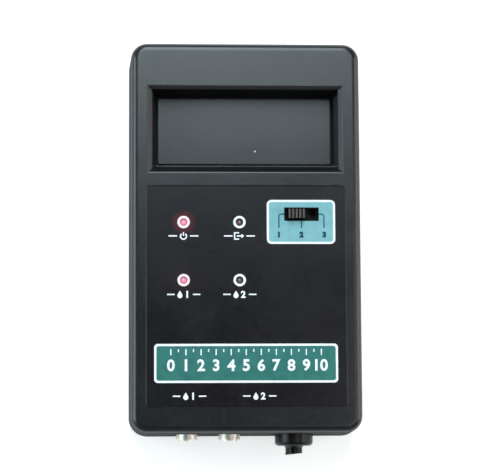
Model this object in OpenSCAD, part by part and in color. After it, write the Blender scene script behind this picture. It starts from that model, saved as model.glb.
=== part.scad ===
// Handheld water level controller in a two-part moulded case. The front face
// holds a recessed display window, a label with four indicator lamps and a
// three-position slide switch. Two sensor sockets and a cord bushing sit in
// the lower end wall. The unit lies on its back: the origin is the middle of
// the back face, +Z points out of the front face and +Y to the display end.

/* [Case] */
// Width of the case at its joint line
case_w = 88; // [84:0.5:110]
// Length of the case at its joint line
case_l = 148.5; // [134:0.5:180]
// Thickness of the closed case
case_h = 38; // [36:0.5:50]
// Depth of the front shell, from the face down to the joint line
front_h = 24; // [22:0.5:26]
// Wall thickness of both shells
wall = 2.4; // [2:0.1:3]
// Slope of the outer walls, in degrees
draft = 2.3; // [0.5:0.1:3]
// Corner radius in plan at the joint line
corner_r = 7; // [5:0.5:12]
// Radius of the rounded edge round the front face
face_edge_r = 2.9; // [1:0.1:3.2]
// Radius of the rounded edge round the back face
back_edge_r = 2.6; // [1:0.1:3]
// Height of the tongue that seats the shells in each other
tongue_h = 1.6; // [1:0.1:3]
// Width of the bevel on each side of the joint line
seam = 0.3; // [0.1:0.05:0.5]

/* [Display window] */
// Distance from the sides of the case to the foot of the window's bevel
window_side = 8.9; // [8:0.1:16]
// Length of the window at the foot of its bevel
window_l = 29; // [20:0.5:32]
// Distance from the top end of the case to the window
window_margin = 18.5; // [17:0.5:22]
// Width of the bevel at the sides of the window
bevel_w = 1.7; // [0.8:0.1:2]
// Width of the bevel at the upper edge of the window
upper_bevel_w = 0.8; // [0.6:0.1:2]
// Width of the bevel at the lower edge of the window
lower_bevel_w = 2.3; // [1:0.1:3]
// Depth of the bevel at the sides and the upper edge
bevel_h = 1.6; // [0.6:0.1:1.9]
// Depth of the bevel at the lower edge
lower_bevel_h = 2.3; // [2:0.1:2.3]
// Width of the ledge at the foot of the lower bevel
lower_ledge = 0.5; // [0.2:0.1:0.7]
// Radius of the bevel's upper edge
bevel_edge_r = 0.8; // [0.2:0.1:1.2]
// Depth of the window well, from the face to its foot
well_h = 12.4; // [8:0.1:13]
// Slope of the walls of the well, in degrees
well_draft = 6; // [1:0.5:7]
// Thickness of the walls of the well
well_wall = 1.6; // [1.2:0.1:2]
// Thickness of the flange of the blank panel
blank_flange = 1.6; // [1.2:0.1:2]
// Height of the blank panel's raised pad
blank_pad_h = 1.2; // [0.5:0.1:2]
// Open gap round the pad
blank_gap = 1; // [0.5:0.1:2]
// Distance from the window's sides to the screws of the blank panel
blank_screw_side = 7.1; // [4:0.1:12]

/* [Label] */
// Distance from the sides of the case to the label recess
label_side = 6.8; // [6:0.1:8]
// Distance from the lower end of the case to the label recess
label_margin = 10.4; // [9:0.1:14]
// Distance from the window to the label recess
label_drop = 7.9; // [6:0.1:12]
// Depth of the label recess
label_depth = 0.6; // [0.4:0.1:1]
// Width of the bevel round the label recess
label_edge = 0.25; // [0.1:0.05:0.35]
// Thickness of the label
label_t = 0.35; // [0.2:0.05:0.6]
// Gap round the label in its recess
label_gap = 0.2; // [0.1:0.05:0.4]
// Corner radius of the label recess
label_r = 1.3; // [0.5:0.1:3]

/* [Indicator lamps] */
// Distance from the upper edge of the label to the first row of lamps
lamp_top = 13.7; // [10:0.1:16]
// Distance from the left edge of the label to the first column of lamps
lamp_side = 13.8; // [10:0.1:16]
// Distance between the two columns of lamps
lamp_pitch_x = 20.9; // [12:0.1:21]
// Distance between the two rows of lamps
lamp_pitch_y = 21.8; // [12:0.1:22]
// Diameter of a lamp
lamp_d = 2.9; // [2:0.1:3.2]
// Depth of a lamp's tip below the face
lamp_sink = 0.9; // [0.8:0.1:2]

/* [Slide switch] */
// Distance from the right edge of the label to the middle of the slot
switch_side = 16.4; // [15:0.1:20]
// Distance from the upper edge of the label to the middle of the slot
switch_top = 10.7; // [10:0.1:14]
// Length of the slot
slot_w = 12.9; // [12:0.1:15]
// Height of the slot
slot_l = 5; // [4.2:0.1:6]
// Length of the knob along its travel
knob_w = 6; // [4:0.1:6.5]
// Width of the knob across its travel
knob_l = 3.4; // [2.5:0.1:3.6]
// Height of the knob above the face
knob_h = 2.8; // [1:0.1:4]
// Number of grip ribs on the knob
knob_ribs = 5; // [3:1:7]
// Height of the grip ribs
rib_h = 0.5; // [0.2:0.1:0.8]
// Travel from one switch position to the next
switch_step = 2; // [1.5:0.1:2.1]

/* [Lower end] */
// Depth of the socket and bushing axes below the face
port_depth = 13.5; // [12:0.1:14]
// Distance from the middle of the case to the first socket, on the left
socket_1_x = 22.1; // [20:0.1:24]
// Distance from the middle of the case to the second socket, on the left
socket_2_x = 6.1; // [4:0.1:8]
// Distance from the middle of the case to the cord bushing, on the right
bushing_x = 18.2; // [16:0.1:22]
// Diameter of the plug that the sockets take
plug_d = 3.5; // [2.5:0.1:3.5]
// Depth of a socket's bore from its outer end
socket_depth = 14; // [12:0.5:16]
// Diameter of a socket's threaded sleeve
sleeve_d = 6; // [5.5:0.1:6.5]
// Diameter of a socket's nut
nut_d = 8; // [7.5:0.1:9]
// Thickness of a socket's nut
nut_h = 2; // [1.5:0.1:2.2]
// Diameter of the bushing's head
bushing_head_d = 14.4; // [13:0.1:16]
// Thickness of the bushing's head
bushing_head_h = 4.6; // [3:0.1:5]
// Diameter of the bushing's neck, in the wall
bushing_neck_d = 12; // [11:0.1:12.6]
// Diameter of the bushing's nose
nose_d = 6.5; // [6:0.1:8]
// Distance from the end wall to the tip of the bushing's nose
nose_h = 8; // [7:0.1:20]
// Slant of the nose's cut tip, in degrees
nose_slant = 6; // [0:1:15]
// Bore of the bushing
cord_bore = 4.6; // [3:0.1:5]

/* [Boards] */
// Thickness of both circuit boards
board_t = 1.6; // [1:0.1:2]
// Depth of the indicator board's front below the face
lamp_board_depth = 8.3; // [8.3:0.1:9]
// Distance from the sides of the label recess to the indicator board
lamp_board_side = 2.2; // [1.5:0.1:3]
// Distance from the lower row of lamps to the lower edge of the indicator board
lamp_board_below = 6.4; // [6.2:0.1:8]
// Distance from the upper edge of the label to the indicator board
lamp_board_top = 3.9; // [3.5:0.1:5]
// Height of the main board's posts above the inside of the back
post_h = 5; // [4:0.1:6]
// Distance from the case's sides to the main board
main_board_side = 9; // [8:0.1:12]
// Gap between the main board's ends and the posts of the case screws
main_board_gap = 0.9; // [0.5:0.1:3]

/* [Screws] */
// Thread diameter of the case screws
case_screw_d = 2.9; // [2.5:0.1:3.5]
// Length of the case screws under the head
case_screw_l = 14; // [10:0.5:16]
// Head diameter of the case screws
case_head_d = 5.6; // [5:0.1:6.2]
// Depth of the case screws' seats below the back face
case_seat = 8; // [6:0.1:9]
// Distance from the case's sides and ends to its screws
case_screw_inset = 8.8; // [8.4:0.1:10]
// Thread diameter of the board screws
board_screw_d = 2.2; // [2:0.1:2.4]
// Length of the board screws under the head
board_screw_l = 5.5; // [5:0.1:6]
// Head diameter of the board screws
board_head_d = 4; // [3.5:0.1:4.4]

/* [Hidden] */
$fn = 64;

// Extra length of a cutter past the face that it cuts
past = 0.5;
// How far a piece of one solid reaches into its neighbour
sunk = 0.4;
edge_steps = 12;

// Case
joint_z = case_h - front_h;
slope = tan(draft);
top_y = case_l / 2;
low_y = -case_l / 2;
face_under = case_h - wall;
lip_t = wall / 2;
lip_gap = 0.1;
lip_rise_gap = 0.2;
inner_bevel = 0.8;

// Display window and blank panel
window_w = case_w - 2 * window_side;
window_y = top_y - window_margin - window_l / 2;
bevel_foot = case_h - bevel_h;
well_foot = case_h - well_h;
well_slope = tan(well_draft);
foot_inset = (bevel_foot - well_foot) * well_slope;
pad_inset = (bevel_foot - well_foot - blank_pad_h) * well_slope + blank_gap;
pad_w = window_w - 2 * pad_inset;
pad_l = window_l - 2 * pad_inset;
pad_r = 0.8;
flange_rim = 1;
flange_w = window_w - 2 * foot_inset + 2 * (well_wall + flange_rim);
flange_l = window_l - 2 * foot_inset + 2 * (well_wall + flange_rim);
lug_reach = 2.4;
lug_span_x = window_w - 2 * blank_screw_side;
lug_span_y = flange_l + 2 * lug_reach;

// Label
label_w = case_w - 2 * label_side;
label_top_y = top_y - window_margin - window_l - label_drop;
label_l = label_top_y - low_y - label_margin;
label_y = label_top_y - label_l / 2;
label_seat = case_h - label_depth;

// Screws. Pilot holes and clearance holes follow the threads.
board_pilot_r = board_screw_d / 2;
board_clear_r = board_screw_d / 2 + 0.2;
board_post_r = board_head_d / 2 + 0.5;
board_head_h = 1.5;
board_screw_edge = 3.5;
main_screw_end = 9;
case_pilot_r = case_screw_d / 2;
case_clear_r = case_screw_d / 2 + 0.25;
case_head_h = 2.2;
head_gap = 0.3;
boss_wall = 1.4;
front_boss_r = case_screw_d / 2 + 1.95;
rear_boss_r = case_head_d / 2 + head_gap + boss_wall;
boss_rib_t = 1.4;
pilot_spare = 1;
screw_span_x = case_w - 2 * case_screw_inset;
screw_span_y = case_l - 2 * case_screw_inset;

// Boards
lamp_board_z = case_h - lamp_board_depth;
lamp_board_w = label_w - 2 * lamp_board_side;
lamp_board_l = lamp_top - lamp_board_top + lamp_pitch_y + lamp_board_below;
lamp_board_y = label_top_y - lamp_board_top - lamp_board_l / 2;
lamp_board_low = lamp_board_y - lamp_board_l / 2;
lamp_screw_span_x = lamp_board_w - 2 * board_screw_edge;
lamp_screw_span_y = lamp_board_l - 2 * board_screw_edge;
main_board_z = wall + post_h + board_t;
main_board_w = case_w - 2 * main_board_side;
main_board_l = case_l - 2 * (case_screw_inset + rear_boss_r + main_board_gap);
main_screw_span_x = main_board_w - 2 * board_screw_edge;
main_screw_span_y = main_board_l - 2 * main_screw_end;
main_board_low = -main_board_l / 2;
main_board_top = main_board_l / 2;
main_board_right = main_board_w / 2;

// Lamps and what is soldered to the boards
lamp_x = -label_w / 2 + lamp_side;
lamp_y = label_top_y - lamp_top;
lamp_tip = case_h - lamp_sink;
lamp_body_h = 5.3;
lamp_flange_r = lamp_d / 2 + 0.45;
lamp_flange_h = 1;
lamp_hole_r = lamp_d / 2 + 0.15;
lead_pitch = 2.54;
lead_r = 0.25;
solder_h = 1.2;
solder_foot = lamp_board_z - board_t - solder_h;
resistor_d = 2.3;
resistor_lift = 0.3;
resistor_l = 6.3;
resistor_pitch = 10.16;
// Distance from a row of lamps down to its resistors, for each row
lamp_resistor_drops = [10.9, 4.8];

// Slide switch, from the board up: base, terminals, contact, knob carriage and housing
switch_x = label_w / 2 - switch_side;
switch_y = label_top_y - switch_top;
housing_rim_x = 0.95;
housing_rim_y = 1.2;
housing_w = slot_w + 2 * housing_rim_x;
housing_l = slot_l + 2 * housing_rim_y;
housing_wall = 0.6;
housing_gap = 0.3;
housing_top = face_under - housing_gap;
base_t = 1.2;
base_top = lamp_board_z + base_t;
contact_gap = 0.3;
contact_h = 0.8;
contact_t = 0.3;
contact_inset = 1.2;
terminal_w = 0.8;
terminal_t = 0.4;
terminal_rise = 0.1;
terminal_hole_r = 0.6;
stem_gap = 0.3;
carriage_w = housing_w - 2 * (housing_wall + switch_step + stem_gap);
carriage_l = housing_l - 2 * (housing_wall + stem_gap);
contact_z = base_top + terminal_rise + contact_gap;
carriage_z = contact_z + contact_h;
carriage_top = housing_top - housing_wall - stem_gap;
knob_x = switch_x - switch_step;
knob_top = case_h + knob_h;

// Sockets and bushing on the sloped end wall
port_z = case_h - port_depth;
seat_gap = 0.3;
inside_gap = 0.05;
sleeve_gap = 0.1;
neck_gap = 0.1;
bore_r = plug_d / 2 + 0.05;
sleeve_out = 2.4;
sleeve_in = socket_depth - sleeve_out;
nut_slot_w = 1;
nut_slot_h = 0.8;
collar_d = 8.6;
collar_h = 1;
socket_body_w = 9;
socket_back = 1.6;
lug_w = 2;
lug_t = 0.5;
lug_l = 4;
lug_x = 2.4;
wire_r = 0.6;
bushing_edge = 1.5;
bushing_in = 7;
latch_rise = 0.5;
latch_h = 2;
neck_r = bushing_neck_d / 2;
wedge_from = nose_d / 2 + 0.5;
wedge_tilt = 12;
wedge_floor = 1.2;
wedge_gap = 0.1;
nose_foot = 0.6;
nose_rings = 2;
nose_ring_h = 0.15;

// Parts on the main board. Places are measured from the middle of the board,
// from its lower or upper end and from its right edge.
transformer_x = 14;
transformer_from_low = 22;
core_w = 30;
core_l = 13;
core_gap = 2.6;
core_limb = 5;
core_window = 5;
coil_wrap = 4.6;
coil_gap = 0.2;
// The transformer is as high as the space over it: up to the face, or up to
// the indicator board where it reaches under that board
transformer_y = main_board_low + transformer_from_low;
coil_upper_y = transformer_y + core_l / 2 + coil_wrap;
core_h = (coil_upper_y < lamp_board_low ? face_under : solder_foot) - core_gap - main_board_z;
fuse_x = -7;
fuse_from_low = 23;
fuse_l = 20;
fuse_r = 2.6;
fuse_glass_r = 2.4;
fuse_cap_l = 5.5;
fuse_cap_end = 1;
fuse_lift = 4;
clip_t = 0.5;
clip_l = 4.5;
clip_rise = 1;
block_x = -22;
block_from_low = 20;
block_w = 15;
block_l = 8;
block_h = 10;
block_poles = 3;
block_entry_r = 1.4;
block_entry_z = 3.3;
block_back = 2.5;
block_screw_r = 1.7;
block_screw_h = 1.4;
block_screw_sink = 2;
block_slot_w = 0.5;
block_slot_h = 0.6;
relay_x = -20;
relay_y = -8;
relay_w = 19;
relay_l = 15.4;
relay_edge_r = 0.8;
relay_gap = 2.9;
relay_h = solder_foot - main_board_z - relay_gap;
large_capacitor_x = 8;
small_capacitor_x = 20;
capacitor_y = -8;
large_capacitor_r = 5;
large_capacitor_gap = 1.9;
large_capacitor_h = solder_foot - main_board_z - large_capacitor_gap;
small_capacitor_r = 3.2;
small_capacitor_h = 11;
capacitor_edge_r = 0.4;
chip_from_top = 27;
chip_w = 19.4;
chip_l = 6.4;
chip_h = 3.3;
chip_lift = 0.6;
chip_pins = 8;
pin_w = 0.6;
pin_t = 0.5;
pin_sunk = 0.1;
diodes_from_right = 8;
diodes_from_top = 58;
diode_count = 4;
diode_pitch = 4;
diode_r = 1.35;
diode_l = 5;
diode_lift = 0.35;
diode_lead_pitch = 7.62;
regulator_from_right = 8;
regulator_from_top = 36;
regulator_r = 2.4;
regulator_flat = 1.3;
regulator_h = 4.8;
regulator_lift = 2;
regulator_pitch = 1.27;
resistors_from_left = 11;
resistors_from_top = 48;
resistor_count = 6;
resistor_row_pitch = 4.2;
cable_w = 14;
cable_t = 0.9;
cable_r = 4;
cable_run = 13;
cable_foot_y = label_top_y + 4;

// Distance of the case's outer wall from the centre of a corner, at a height
function outer_u(z) = corner_r - slope * abs(z - joint_z);

// Points along an arc
function arc(x, y, r, from, to, steps = edge_steps) =
    [for (i = [0 : steps]) let (a = from + (to - from) * i / steps) [x + r * cos(a), y + r * sin(a)]];

// An outline seen in a mirror on the second axis, drawn the other way round
function mirrored(points) = [for (i = [len(points) - 1 : -1 : 0]) [-points[i][0], points[i][1]]];

// Flat seat on the sloped end wall: where the wall is lowest under the seat's upper edge
function seat_y(r) = low_y + slope * (port_z + r - joint_z);

// Inside of the sloped end wall at a height above the axes of the sockets
function wall_in_y(up) = low_y + slope * (port_z + up - joint_z) + wall;

socket_seat_y = seat_y(nut_d / 2 + seat_gap);
bushing_seat_y = seat_y(bushing_head_d / 2 + seat_gap);
socket_wall = wall_in_y(collar_d / 2) - socket_seat_y + inside_gap;
socket_body_from = socket_wall + collar_h;
bushing_wall = wall_in_y(neck_r + latch_rise) - bushing_seat_y + inside_gap;

// Places of four items on a rectangle
module at_corners(w, l) {
    for (x = [-w / 2, w / 2], y = [-l / 2, l / 2])
        translate([x, y, 0]) children();
}

// Block that is centred on the Z axis and stands on zero
module slab(w, l, h) {
    translate([-w / 2, -l / 2, 0]) cube([w, l, h]);
}

// Slab with round vertical corners
module round_slab(w, l, h, r) {
    linear_extrude(h) {
        square([w - 2 * r, l], center = true);
        square([w, l - 2 * r], center = true);
        for (x = [-1, 1], y = [-1, 1])
            translate([x * (w / 2 - r), y * (l / 2 - r)]) circle(r);
    }
}

// Cylinder from one height to another
module post(r, from, to) {
    translate([0, 0, from]) cylinder(r = r, h = to - from);
}

// Slab from one height to another
module layer(w, l, from, to) {
    translate([0, 0, from]) slab(w, l, to - from);
}

// Turns a shape built along +Z so that it points out of the lower end wall
module out_of_end(x, y) {
    translate([x, y, port_z]) rotate([90, 0, 0]) children();
}

// Carries a section all round a rectangle with round corners. The section is
// drawn outward from the corner centres, which stand on a rectangle of w by l.
module carry_round(w, l) {
    corners = [[1, 1], [-1, 1], [-1, -1], [1, -1]];
    for (i = [0 : 3])
        translate([corners[i][0] * w / 2, corners[i][1] * l / 2, 0])
            rotate([0, 0, 90 * i]) rotate_extrude(angle = 90) children();
    for (turn = [0, 180])
        rotate([0, 0, turn]) translate([w / 2, l / 2, 0])
            rotate([90, 0, 0]) linear_extrude(l) children();
    for (turn = [90, 270])
        rotate([0, 0, turn]) translate([l / 2, w / 2, 0])
            rotate([90, 0, 0]) linear_extrude(w) children();
}

// Section of the front shell: face, rounded edge, wall and rebate
module front_section() {
    inner_face_u = outer_u(face_under) - wall;
    rebate_z = joint_z + tongue_h;
    edge_u = outer_u(case_h - face_edge_r) - face_edge_r;
    polygon(concat(
        [[corner_r - seam, joint_z], [outer_u(joint_z + seam), joint_z + seam]],
        arc(edge_u, case_h - face_edge_r, face_edge_r, 0, 90),
        [[0, case_h], [0, face_under]],
        [[inner_face_u - inner_bevel, face_under], [inner_face_u, face_under - inner_bevel]],
        [[outer_u(rebate_z) - wall, rebate_z], [corner_r - lip_t, rebate_z], [corner_r - lip_t, joint_z]]
    ));
}

// Section of the rear shell: back, rounded edge, wall and tongue
module rear_section() {
    inner_back_u = outer_u(wall) - wall;
    tongue_z = joint_z + tongue_h - lip_rise_gap;
    tongue_u = corner_r - lip_t - lip_gap;
    edge_u = outer_u(back_edge_r) - back_edge_r;
    polygon(concat(
        arc(edge_u, back_edge_r, back_edge_r, -90, 0),
        [[outer_u(joint_z - seam), joint_z - seam], [corner_r - seam, joint_z]],
        [[tongue_u, joint_z], [tongue_u, tongue_z], [corner_r - wall, tongue_z], [corner_r - wall, joint_z]],
        [[inner_back_u, wall + inner_bevel], [inner_back_u - inner_bevel, wall], [0, wall], [0, 0]]
    ));
}

// Section of the bevel that is cut round the label recess
module label_edge_section() {
    polygon([
        [label_r - sunk, case_h - label_edge], [label_r, case_h - label_edge],
        [label_r + label_edge, case_h], [label_r + label_edge, case_h + past], [label_r - sunk, case_h + past]
    ]);
}

// Four-sided well with sloped walls, as two crossed prisms. Each side is moved out by grow.
module well(grow, from, to) {
    intersection() {
        rotate([90, 0, 0]) linear_extrude(2 * window_l, center = true)
            well_section(window_w / 2 + grow, from, to);
        rotate([90, 0, 90]) linear_extrude(2 * window_w, center = true)
            well_section(window_l / 2 + grow, from, to);
    }
}

module well_section(half, from, to) {
    foot_half = half - (bevel_foot - from) * well_slope;
    polygon([
        [-foot_half, from], [foot_half, from], [half, bevel_foot],
        [half, to], [-half, to], [-half, bevel_foot]
    ]);
}

// The opening itself: the well below, and above it a bevel with a rounded upper
// edge. The lower side has a ledge and a deeper bevel, and all sides reach its foot.
module window_cut() {
    lower_foot = case_h - lower_bevel_h;
    inset = (bevel_foot - lower_foot) * well_slope;
    side = concat([[window_w / 2 - inset, lower_foot]], bevel_side(window_w / 2, bevel_w, bevel_h));
    upper = concat([[window_l / 2 - inset, lower_foot]], bevel_side(window_l / 2, upper_bevel_w, bevel_h));
    lower = concat(
        [[window_l / 2 - inset, lower_foot]],
        bevel_side(window_l / 2 - inset + lower_ledge, lower_bevel_w, lower_bevel_h)
    );
    well(0, well_foot - past, case_h + past);
    intersection() {
        rotate([90, 0, 0]) linear_extrude(2 * window_l, center = true)
            polygon(concat(side, mirrored(side)));
        rotate([90, 0, 90]) linear_extrude(2 * window_w, center = true)
            polygon(concat(upper, mirrored(lower)));
    }
}

// One side of the bevel's section, from its foot up past the face
function bevel_side(half, w, h) =
    let (a = atan(h / w), end = half + w + bevel_edge_r * tan(a / 2))
    concat(
        [[half, case_h - h]],
        arc(end, case_h - bevel_edge_r, bevel_edge_r, 90 + a, 90, 4),
        [[end, case_h + past]]
    );

// Ribs from the screw bosses to the nearer side wall and end wall
module boss_ribs(from, to) {
    reach = case_screw_inset - wall - sunk;
    for (x = [-1, 1], y = [-1, 1])
        translate([x * screw_span_x / 2, y * screw_span_y / 2, from]) {
            translate([x > 0 ? 0 : -reach, -boss_rib_t / 2, 0]) cube([reach, boss_rib_t, to - from]);
            translate([-boss_rib_t / 2, y > 0 ? 0 : -reach, 0]) cube([boss_rib_t, reach, to - from]);
        }
}

module lamp_board_screw_places() {
    translate([0, lamp_board_y, 0]) at_corners(lamp_screw_span_x, lamp_screw_span_y) children();
}

module blank_screw_places() {
    translate([0, window_y, 0]) at_corners(lug_span_x, lug_span_y) children();
}

// Hole through the end wall with a flat seat outside it
module end_hole(x, hole_r, seat_d) {
    seat_r = seat_d / 2 + seat_gap;
    out_of_end(x, seat_y(seat_r)) cylinder(r = seat_r, h = wall);
    out_of_end(x, wall_in_y(0) + wall) cylinder(r = hole_r, h = 3 * wall);
}

module front_case() {
    color([0.13, 0.135, 0.14]) difference() {
        union() {
            carry_round(case_w - 2 * corner_r, case_l - 2 * corner_r) front_section();
            layer(case_w - 2 * corner_r, case_l - 2 * corner_r, face_under, case_h);
            translate([0, window_y, 0]) well(well_wall, well_foot, face_under + sunk);
            at_corners(screw_span_x, screw_span_y) post(front_boss_r, joint_z, face_under + sunk);
            boss_ribs(joint_z + tongue_h, face_under + sunk);
            blank_screw_places() post(board_post_r, well_foot, face_under + sunk);
            lamp_board_screw_places() post(board_post_r, lamp_board_z, face_under + sunk);
        }
        translate([0, window_y, 0]) window_cut();
        translate([0, label_y, label_seat]) round_slab(label_w, label_l, label_depth + past, label_r);
        translate([0, label_y, 0])
            carry_round(label_w - 2 * label_r, label_l - 2 * label_r) label_edge_section();
        lamp_places() post(lamp_hole_r, face_under - past, case_h);
        translate([switch_x, switch_y, 0]) layer(slot_w, slot_l, face_under - past, case_h);
        at_corners(screw_span_x, screw_span_y)
            post(case_pilot_r, joint_z - past, case_seat + case_screw_l + pilot_spare);
        blank_screw_places()
            post(board_pilot_r, well_foot - past, well_foot - blank_flange + board_screw_l + pilot_spare);
        lamp_board_screw_places()
            post(board_pilot_r, lamp_board_z - past, lamp_board_z - board_t + board_screw_l + pilot_spare);
        for (x = [-socket_1_x, -socket_2_x])
            end_hole(x, sleeve_d / 2 + sleeve_gap, nut_d);
        end_hole(bushing_x, bushing_neck_d / 2 + neck_gap, bushing_head_d);
    }
}

module rear_case() {
    color([0.13, 0.135, 0.14]) difference() {
        union() {
            carry_round(case_w - 2 * corner_r, case_l - 2 * corner_r) rear_section();
            layer(case_w - 2 * corner_r, case_l - 2 * corner_r, 0, wall);
            at_corners(screw_span_x, screw_span_y) post(rear_boss_r, wall - sunk, joint_z);
            boss_ribs(wall - sunk, joint_z - seam);
            at_corners(main_screw_span_x, main_screw_span_y) post(board_post_r, wall - sunk, wall + post_h);
        }
        at_corners(screw_span_x, screw_span_y) {
            post(case_head_d / 2 + head_gap, -past, case_seat);
            post(case_clear_r, case_seat - past, joint_z + past);
        }
        at_corners(main_screw_span_x, main_screw_span_y)
            post(board_pilot_r, main_board_z - board_screw_l - pilot_spare, wall + post_h + past);
    }
}

// Cross-head screw that points up, with the underside of its head at zero
module screw(d, l, head_d, head_h) {
    cross_w = head_d / 5;
    cross_l = head_d * 0.6;
    cross_h = head_h / 2;
    difference() {
        union() {
            cylinder(r = d / 2, h = l);
            rotate_extrude() polygon(concat(
                [[0, 0], [head_d / 2, 0]],
                arc(head_d / 2 - head_h / 2, -head_h / 2, head_h / 2, 0, -90, 5),
                [[0, -head_h]]
            ));
        }
        for (turn = [0, 90])
            rotate([0, 0, turn]) layer(cross_w, cross_l, -head_h - past, -head_h + cross_h);
    }
}

module case_screws() {
    color([0.62, 0.62, 0.6]) at_corners(screw_span_x, screw_span_y)
        translate([0, 0, case_seat]) screw(case_screw_d, case_screw_l, case_head_d, case_head_h);
}

module board_screw() {
    screw(board_screw_d, board_screw_l, board_head_d, board_head_h);
}

module blank_screws() {
    color([0.7, 0.7, 0.68]) blank_screw_places() translate([0, 0, well_foot - blank_flange]) board_screw();
}

module indicator_board_screws() {
    color([0.7, 0.7, 0.68]) lamp_board_screw_places() translate([0, 0, lamp_board_z - board_t]) board_screw();
}

module main_board_screws() {
    color([0.7, 0.7, 0.68]) translate([0, 0, main_board_z])
        at_corners(main_screw_span_x, main_screw_span_y) mirror([0, 0, 1]) board_screw();
}

module label_overlay() {
    color([0.08, 0.08, 0.085]) difference() {
        translate([0, label_y, label_seat])
            round_slab(label_w - 2 * label_gap, label_l - 2 * label_gap, label_t, label_r - label_gap);
        lamp_places() post(lamp_d / 2, label_seat - past, case_h);
        translate([switch_x, switch_y, 0]) layer(slot_w, slot_l, label_seat - past, case_h);
    }
}

// Panel that closes the well from behind, with a raised pad inside the well
module display_blank() {
    color([0.3, 0.31, 0.32]) difference() {
        union() {
            translate([0, window_y, 0]) {
                layer(flange_w, flange_l, well_foot - blank_flange, well_foot);
                translate([0, 0, well_foot - sunk]) round_slab(pad_w, pad_l, blank_pad_h + sunk, pad_r);
                at_corners(lug_span_x, lug_span_y - 2 * lug_reach)
                    layer(2 * board_post_r, 2 * lug_reach, well_foot - blank_flange, well_foot);
            }
            blank_screw_places() post(board_post_r, well_foot - blank_flange, well_foot);
        }
        blank_screw_places() post(board_clear_r, well_foot - 2 * blank_flange, well_foot + past);
    }
}

// Places of the four lamps
module lamp_places() {
    for (i = [0, 1], j = [0, 1])
        lamp_place(i, j) children();
}

module lamp_place(i, j) {
    translate([lamp_x + i * lamp_pitch_x, lamp_y - j * lamp_pitch_y, 0]) children();
}

// One lamp: flanged body with a domed tip, and two leads soldered through the board
module lamp() {
    foot = lamp_tip - lamp_body_h;
    r = lamp_d / 2;
    rotate_extrude() polygon(concat(
        [[0, foot], [lamp_flange_r, foot], [lamp_flange_r, foot + lamp_flange_h], [r, foot + lamp_flange_h]],
        arc(0, lamp_tip - r, r, 0, 90)
    ));
    for (x = [-1, 1])
        translate([x * lead_pitch / 2, 0, 0]) post(lead_r, solder_foot, foot + sunk);
}

module lamp_power() {
    color([0.95, 0.45, 0.45]) lamp_place(0, 0) lamp();
}

module lamp_output() {
    color([0.45, 0.2, 0.2]) lamp_place(1, 0) lamp();
}

module lamp_sensor_1() {
    color([0.95, 0.45, 0.45]) lamp_place(0, 1) lamp();
}

module lamp_sensor_2() {
    color([0.45, 0.2, 0.2]) lamp_place(1, 1) lamp();
}

// Resistor or diode on a board, lying along X, with its two bent leads that end at lead_end
module axial_part(r, l, lift, pitch, board_z, lead_end) {
    axis_z = board_z + r + lift;
    translate([0, 0, axis_z]) rotate([0, 90, 0]) {
        cylinder(r = r, h = l, center = true);
        cylinder(r = lead_r, h = pitch + 2 * lead_r, center = true);
    }
    for (x = [-1, 1])
        translate([x * pitch / 2, 0, 0]) post(lead_r, lead_end, axis_z);
}

module resistor(board_z, lead_end) {
    axial_part(resistor_d / 2, resistor_l, resistor_lift, resistor_pitch, board_z, lead_end);
}

module lamp_resistor_places() {
    for (i = [0, 1], j = [0, 1])
        lamp_place(i, j) translate([0, -lamp_resistor_drops[j], 0]) children();
}

module lamp_resistors() {
    color([0.75, 0.66, 0.5]) lamp_resistor_places() resistor(lamp_board_z, solder_foot);
}

module indicator_board() {
    under = lamp_board_z - board_t - past;
    over = lamp_board_z + past;
    color([0.12, 0.36, 0.2]) difference() {
        translate([0, lamp_board_y, 0])
            layer(lamp_board_w, lamp_board_l, lamp_board_z - board_t, lamp_board_z);
        lamp_board_screw_places() post(board_clear_r, under, over);
        for (x = [-1, 1]) {
            lamp_places() translate([x * lead_pitch / 2, 0, 0]) post(lead_r, under, over);
            lamp_resistor_places() translate([x * resistor_pitch / 2, 0, 0]) post(lead_r, under, over);
        }
        terminal_places() post(terminal_hole_r, under, over);
    }
}

// The four terminals stand one step apart, so that the contact joins the next pair at each step
module terminal_places() {
    for (i = [-1.5 : 1.5])
        translate([switch_x + i * switch_step, switch_y, 0]) children();
}

module switch_housing() {
    inner_w = housing_w - 2 * housing_wall;
    inner_l = housing_l - 2 * housing_wall;
    color([0.07, 0.07, 0.07]) translate([switch_x, switch_y, 0]) difference() {
        layer(housing_w, housing_l, base_top, housing_top);
        layer(inner_w, inner_l, base_top - past, housing_top - housing_wall);
        layer(knob_w + 2 * (switch_step + stem_gap), knob_l + 2 * stem_gap, base_top, housing_top + past);
    }
}

module switch_base() {
    color([0.2, 0.13, 0.08]) difference() {
        translate([switch_x, switch_y, 0]) layer(housing_w, housing_l, lamp_board_z, base_top);
        terminal_places() layer(terminal_w, terminal_t, lamp_board_z - past, base_top + past);
    }
}

module switch_terminals() {
    color([0.8, 0.75, 0.55]) terminal_places()
        layer(terminal_w, terminal_t, solder_foot, base_top + terminal_rise);
}

// Bridge under the carriage, with two feet one step apart
module switch_contact() {
    bridge_l = carriage_l - 2 * contact_inset;
    color([0.8, 0.7, 0.4]) translate([knob_x, switch_y, 0]) {
        layer(carriage_w - 2 * contact_inset, bridge_l, carriage_z - contact_t, carriage_z);
        for (x = [-1, 1])
            translate([x * switch_step / 2, 0, 0]) layer(2 * contact_t, bridge_l, contact_z, carriage_z);
    }
}

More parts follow.
